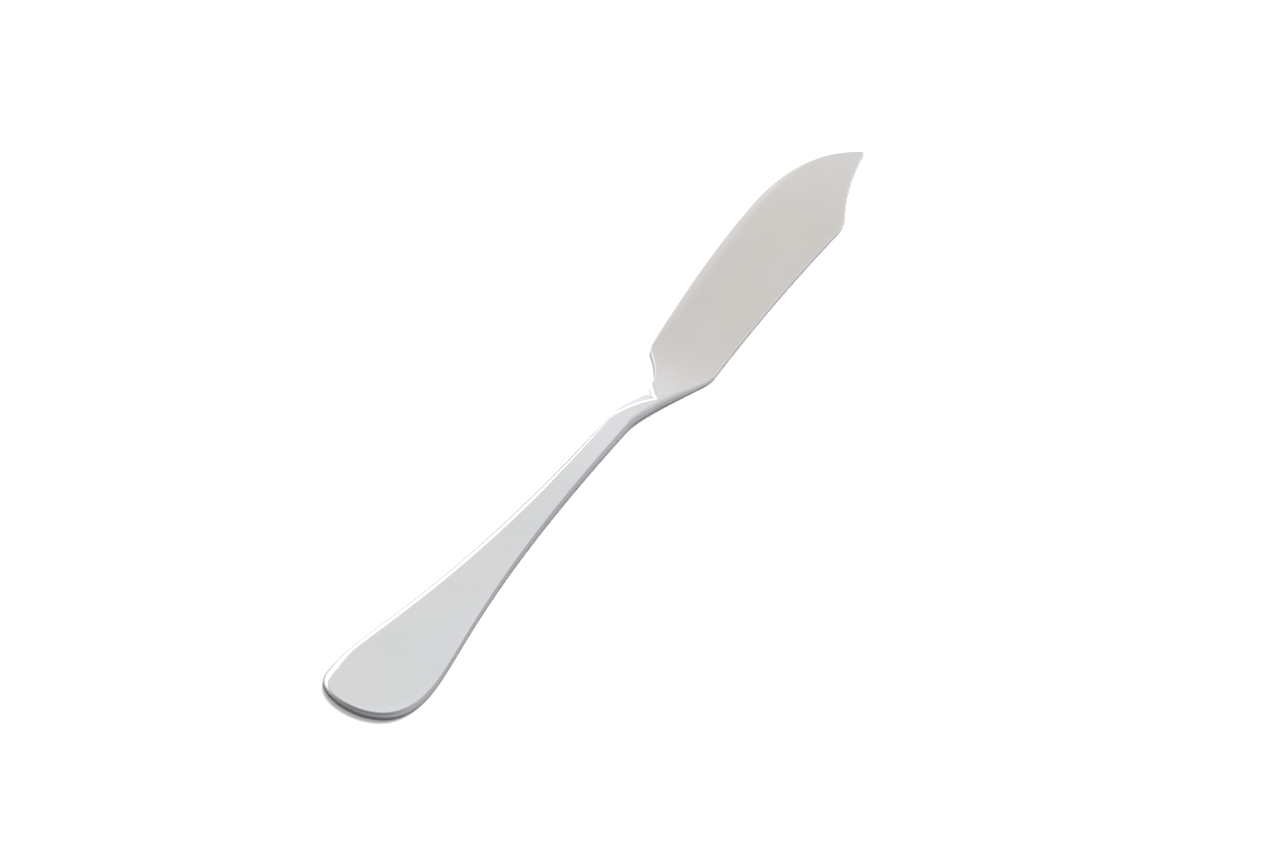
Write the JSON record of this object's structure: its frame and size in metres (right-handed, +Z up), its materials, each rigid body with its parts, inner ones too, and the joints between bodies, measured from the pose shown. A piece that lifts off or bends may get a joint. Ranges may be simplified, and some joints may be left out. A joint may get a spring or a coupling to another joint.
{
  "type": "fish knife",
  "caption": "Polished stainless steel fish knife with a flat paddle handle, slim neck and broad thin blade, belly on one side and a notch towards the tip.",
  "frame": {"origin": "on the table, under the middle of the knife's bounding box, the knife lying on its side", "axes": "+X along the knife from the butt to the tip, +Y across it from the straight back to the belly, +Z up from the table"},
  "size_m": [0.2008, 0.0222, 0.0023],
  "materials": {
    "handle_steel": "mirror-polished stainless steel with fine use marks",
    "blade_steel": "polished stainless steel with a soft satin haze"
  },
  "bodies": {
    "root": {"handle": "handle_steel", "blade": "blade_steel"}
  },
  "joints": []
}
